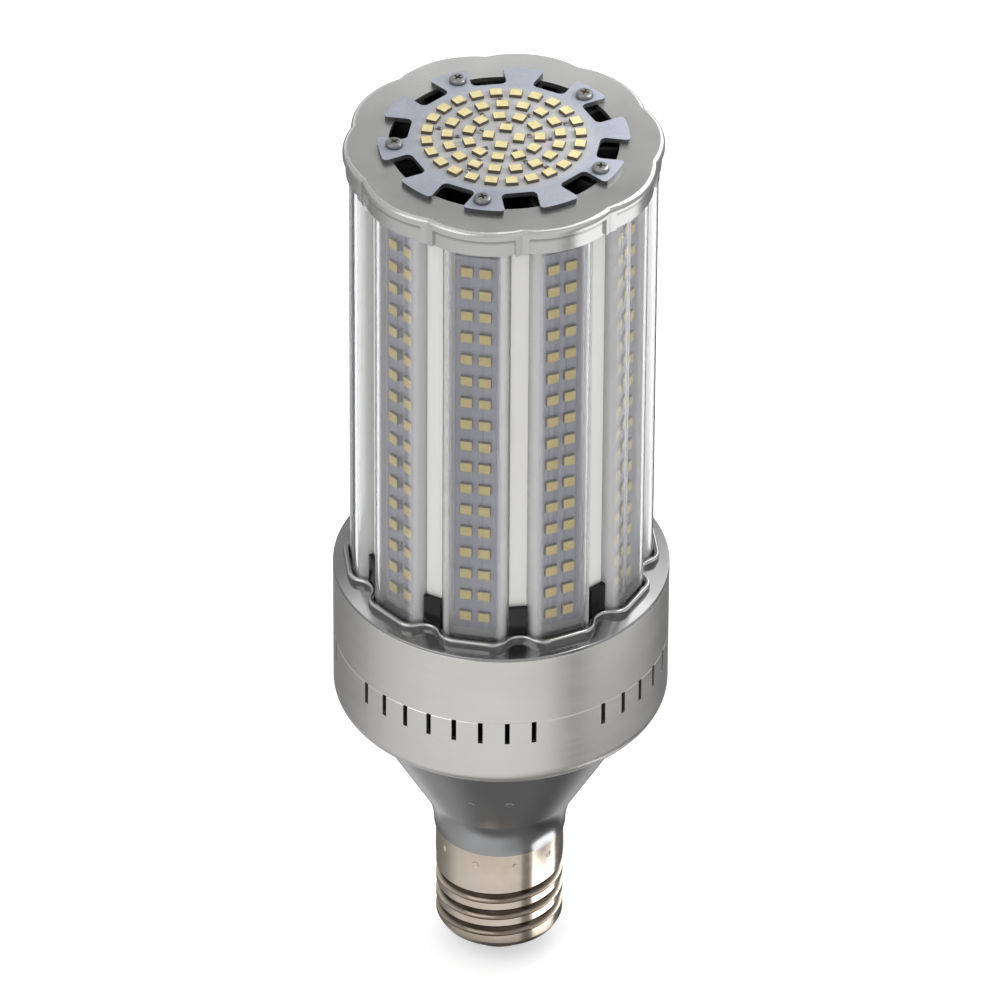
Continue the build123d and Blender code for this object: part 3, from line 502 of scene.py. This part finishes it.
def screw(bm, place, tip, seat, top):
    """A pan-head screw with a cross recess: shank, crowned head and a sunk cross."""
    head = top - seat
    profile = (
        (0.4 * SHANK_RADIUS, tip),
        (SHANK_RADIUS, tip + POINT_LENGTH),
        (SHANK_RADIUS, seat),
        (HEAD_RADIUS, seat),
        (HEAD_RADIUS, seat + 0.45 * head),
        (0.94 * HEAD_RADIUS, seat + 0.75 * head),
        (0.8 * HEAD_RADIUS, seat + 0.95 * head),
        (0.68 * HEAD_RADIUS, top),
    )
    rings = [ring_of(bm, place, radius, height) for radius, height in profile]
    cap(bm, rings[0][::-1], 0)
    for low, high in zip(rings, rings[1:]):
        bridge(bm, low, high, 0, True)
    arm, wide = CROSS_ARM, CROSS_HALF
    cross = [
        (arm, -wide), (arm, wide), (wide, wide), (wide, arm), (-wide, arm), (-wide, wide),
        (-arm, wide), (-arm, -wide), (-wide, -wide), (-wide, -arm), (wide, -arm), (wide, -wide),
    ]
    deep = top - CROSS_DEPTH * head
    mouth = [bm.verts.new(place @ Vector((a, b, top))) for a, b in cross]
    recess = [bm.verts.new(place @ Vector((CROSS_TAPER * a, CROSS_TAPER * b, deep))) for a, b in cross]
    # The sunk cross takes the dark second slot: painted shade in the recess
    bridge(bm, mouth, recess, 1)
    cap(bm, recess, 1)
    edges = []
    for ring in (rings[-1], mouth):
        edges += [bm.edges.get((ring[i], ring[(i + 1) % len(ring)])) for i in range(len(ring))]
    bmesh.ops.triangle_fill(bm, edges=edges, use_beauty=True)


def strip_frame(index, distance, across, height):
    """Placement on one strip: X across it, Y up, Z straight out."""
    turn = FRONT + index * STEP
    out = Vector((math.cos(turn), math.sin(turn), 0))
    side = Vector((-math.sin(turn), math.cos(turn), 0))
    middle = out * distance + side * across + Vector((0, 0, height))
    return Matrix((
        (side.x, 0, out.x, middle.x), (side.y, 0, out.y, middle.y), (0, 1, 0, middle.z), (0, 0, 0, 1),
    ))


# Chips on the strips
CHIP_W, CHIP_H = 3.7 * MM, 3.3 * MM
ROWS = 17
chips_low, chips_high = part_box("led_chips_01")
chip_rise = chips_high.y - chips_low.y
board_face = -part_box("led_strip_01")[0].y
column = (chips_high.x - chips_low.x) / 2 - CHIP_W / 2
first_row = chips_low.z + CHIP_H / 2
row_pitch = (chips_high.z - chips_low.z - CHIP_H) / (ROWS - 1)
for strip in range(STRIPS):
    bm = bmesh.new()
    for row in range(ROWS):
        for side in (-1, 1):
            spot = strip_frame(strip, board_face, side * column, first_row + row * row_pitch)
            chip(bm, spot, CHIP_W, CHIP_H, chip_rise)
    number = f"{strip + 1:02d}"
    piece(f"strip_chips_{number}", bm, (chip_case_and_shade, phosphor), "lamp", (f"led_chips_{number}",))

# Chips in rings on the top board: how many, and the ring's radius
TOP_RINGS = ((4, 4.56 * MM), (11, 10.64 * MM), (17, 16.72 * MM), (24, 22.8 * MM))
TOP_TURN = math.radians(2.0)
board_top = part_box("top_board")[1].z
top_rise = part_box("top_led_chips")[1].z - board_top
bm = bmesh.new()
for count, radius in TOP_RINGS:
    for i in range(count):
        turn = FRONT + TOP_TURN + 2 * math.pi * i / count
        spot = on_ring(radius, turn, board_top) @ Matrix.Rotation(turn, 4, "Z")
        chip(bm, spot, CHIP_H, CHIP_W, top_rise)
piece("top_chips", bm, (chip_case_and_shade, phosphor_painted_glare), "lamp", ("top_led_chips",))

# A few small parts between them: the ring's radius, how many, and the first one's angle
SMALL_RINGS = ((7.6 * MM, 5, 20), (13.7 * MM, 6, 9), (19.7 * MM, 5, 33))
bm = bmesh.new()
for radius, count, start in SMALL_RINGS:
    for i in range(count):
        turn = math.radians(start) + 2 * math.pi * i / count
        lie = Matrix.Rotation(turn + random.choice((0, math.pi / 2)), 4, "Z")
        small_part(bm, on_ring(radius, turn, board_top) @ lie)
piece("top_small_parts", bm, (chip_case_and_shade, solder), "lamp")

# Screws of the top board, each turned differently
PORT_RING = 32.5 * MM
FIRST_TURN, NEXT_TURN = 0.4, 1.3
screw_low, screw_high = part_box("top_board_screws")
bm = bmesh.new()
for i in range(STRIPS // 2):
    lie = Matrix.Rotation(FIRST_TURN + NEXT_TURN * i, 4, "Z")
    screw(bm, on_ring(PORT_RING, FRONT + 2 * i * STEP, 0) @ lie, screw_low.z, board_top, screw_high.z)
piece("board_screws", bm, (screw_dull, chip_case_and_shade), "lamp", ("top_board_screws",))

# Two hollow rivets on the neck's cone: angle in degrees, distance from the axis and height in mm
RIVETS = ((-94.8, 32.1, 73.06), (-74.1, 32.85, 74.4))
# Their rings, in mm: radius and height over the cone. The bands after the third lie in the hollow and take
# the dark second slot: painted shade.
RIVET_RINGS = ((1.4, -0.4), (1.35, 0.12), (1.15, 0.3), (0.95, 0.3), (0.75, 0.12), (0.4, 0.04))
RIVET_SIDES, OUTER_BANDS = 24, 3
CONE_LEAN = math.radians(29.0)
bm = bmesh.new()
for degrees, distance, rise in RIVETS:
    turn = math.radians(degrees)
    spot = Matrix.Rotation(turn, 4, "Z") @ Matrix.Translation((distance * MM, 0, rise * MM))
    spot = spot @ Matrix.Rotation(math.pi / 2 + CONE_LEAN, 4, "Y")
    rings = [ring_of(bm, spot, radius * MM, height * MM, RIVET_SIDES) for radius, height in RIVET_RINGS]
    cap(bm, rings[0][::-1], 0)
    for index, (low, high) in enumerate(zip(rings, rings[1:])):
        bridge(bm, low, high, 0 if index < OUTER_BANDS else 1, True)
    cap(bm, rings[-1], 1)
piece("neck_rivets", bm, (screw_dull, chip_case_and_shade), "lamp")

# Floor
FLOOR_HALF, FLOOR_CELLS, FLOOR_GLOW = 8.0, 8, 0.45
floor_tone = mottled("floor", grey(0.90), grey(0.93), 3.0, (0.7, 0.8), 60.0, 0.02)
floor_tone.set(Emission_Color=(1.0, 1.0, 1.0, 1.0), Emission_Strength=FLOOR_GLOW)
bm = bmesh.new()
bmesh.ops.create_grid(bm, x_segments=FLOOR_CELLS, y_segments=FLOOR_CELLS, size=FLOOR_HALF)
mesh = bpy.data.meshes.new("floor")
bm.to_mesh(mesh)
bm.free()
mesh.materials.append(floor_tone.mat)
floor = bpy.data.objects.new("floor", mesh)
scene.collection.objects.link(floor)
floor.location.z = cad_box[0].z
# Low cards light the cap from under the floor, so it casts no shadow and no reflection
floor.visible_glossy = False
floor.visible_shadow = False

# Camera
AZIMUTH, ELEVATION, ROLL = math.radians(11.0), math.radians(36.6), math.radians(0.35)
DISTANCE, FOCAL_MM, SENSOR_MM, CLIP_END = 3.5, 418.4, 36.0, 100.0
AIM_HEIGHT, AIM_LEFT = 0.1654, 0.0005
right = Vector((math.cos(AZIMUTH), math.sin(AZIMUTH), 0))
toward = Vector((math.sin(AZIMUTH), -math.cos(AZIMUTH), 0))
target = Vector((0, 0, AIM_HEIGHT)) - right * AIM_LEFT
back = toward * math.cos(ELEVATION) + Vector((0, 0, math.sin(ELEVATION)))
camera = bpy.data.objects.new("camera", bpy.data.cameras.new("camera"))
scene.collection.objects.link(camera)
camera.data.sensor_width = SENSOR_MM
camera.data.lens = FOCAL_MM
camera.data.clip_end = CLIP_END
camera.location = target + back * DISTANCE
camera.rotation_mode = "QUATERNION"
roll = Matrix.Rotation(ROLL, 3, "Z").to_quaternion()
camera.rotation_quaternion = (-back).to_track_quat("-Z", "Y") @ roll
scene.camera = camera


# Lights
def area_light(name, spot, aim, size, watts):
    data = bpy.data.lights.new(name, "AREA")
    data.shape = "RECTANGLE"
    data.size, data.size_y = size
    data.energy = watts
    obj = bpy.data.objects.new(name, data)
    scene.collection.objects.link(obj)
    obj.location = spot
    obj.rotation_mode = "QUATERNION"
    obj.rotation_quaternion = (aim - spot).to_track_quat("-Z", "Y")
    obj.visible_camera = False


def around(degrees_right, distance, height):
    """A spot at an angle to the right of the camera's side of the lamp."""
    a = math.radians(degrees_right)
    return toward * (math.cos(a) * distance) + right * (math.sin(a) * distance) + Vector((0, 0, height))


# Name, spot round the lamp, height on the axis that it aims at, size and power
LIGHTS = (
    ("key", (-50, 1.4, 1.5), 0.18, (1.4, 1.4), 7.0),
    ("fill", (35, 1.6, 1.1), 0.18, (1.2, 1.6), 1.4),
    ("top", (170, 0.7, 1.8), 0.18, (1.6, 1.6), 3.6),
    ("side_card", (79, 0.34, 0.05), 0.29, (0.34, 0.14), 0.2),
    ("cap_card", (85, 0.12, -0.064), -0.064, (0.12, 0.034), 0.032),
    ("back_card", (180, 0.13, 0.33), 0.30, (0.30, 0.07), 0.04),
    ("board_card", (95, 0.085, 0.345), 0.297, (0.05, 0.05), 0.06),
)
for name, spot, aim_height, size, watts in LIGHTS:
    area_light(name, around(*spot), Vector((0, 0, aim_height)), size, watts)

# Surroundings: bright in front and to the left, darker behind and to the right, dark straight below
world = bpy.data.worlds.new("studio")
scene.world = world
world.use_nodes = True
sky = NodeKit(world.node_tree)
sky_out = sky.add("ShaderNodeOutputWorld")
glow = sky.add("ShaderNodeBackground")
sky.link(glow.outputs[0], sky_out.inputs["Surface"])
where = sky.add("ShaderNodeTexCoord").outputs["Generated"]


def along(direction):
    node = sky.add("ShaderNodeVectorMath")
    node.operation = "DOT_PRODUCT"
    node.inputs[1].default_value = direction
    sky.link(where, node.inputs[0])
    return node.outputs["Value"]


def levels(value, stops):
    return sky.ramp(value, [(spot, grey(level)) for spot, level in stops])


# Share of a turn, 0.5 towards the camera and more to its right, and share of the height, 0.5 level
angle = sky.math("ARCTAN2", along(right), along(toward))
turn_share = sky.math("MULTIPLY_ADD", angle, 1 / (2 * math.pi), 0.5)
height_share = sky.math("MULTIPLY_ADD", along((0, 0, 1)), 0.5, 0.5)
low_round = levels(turn_share, [
    (0.0, 0.20), (0.106, 0.21), (0.189, 0.32), (0.278, 0.69), (0.5, 0.84), (0.605, 0.84), (0.622, 0.24),
    (0.652, 0.20), (0.668, 0.50), (0.72, 0.42), (0.80, 0.32), (0.903, 0.12), (1.0, 0.20),
])
high_round = levels(turn_share, [
    (0.0, 0.15), (0.03, 0.54), (0.08, 0.58), (0.2, 0.70), (0.5, 0.66), (0.75, 0.60), (0.86, 0.9), (0.90, 2.0),
    (0.95, 2.0), (0.975, 0.4), (1.0, 0.15),
])
deep_round = levels(turn_share, [
    (0.0, 0.34), (0.05, 0.70), (0.075, 0.52), (0.10, 0.38), (0.2, 0.55), (0.344, 0.85), (0.5, 0.76),
    (0.6, 0.50), (0.66, 0.26), (0.72, 0.20), (0.85, 0.08), (0.895, 0.12), (0.94, 0.56), (1.0, 0.34),
])
DOWN_LEVEL = 0.21
straight_down = levels(height_share, [(0.0, 1.0), (0.01, 1.0), (0.04, 0.0), (1.0, 0.0)])
slanting = levels(height_share, [(0.0, 0.0), (0.14, 0.0), (0.18, 1.0), (1.0, 1.0)])
above = levels(height_share, [(0.0, 0.0), (0.50, 0.0), (0.58, 1.0), (1.0, 1.0)])
deep = sky.mix(straight_down, deep_round, grey(DOWN_LEVEL))
below = sky.mix(slanting, deep, low_round)
sky.link(sky.mix(above, below, high_round), glow.inputs["Color"])
glow.inputs["Strength"].default_value = 1.0

scene.view_settings.view_transform = "Standard"
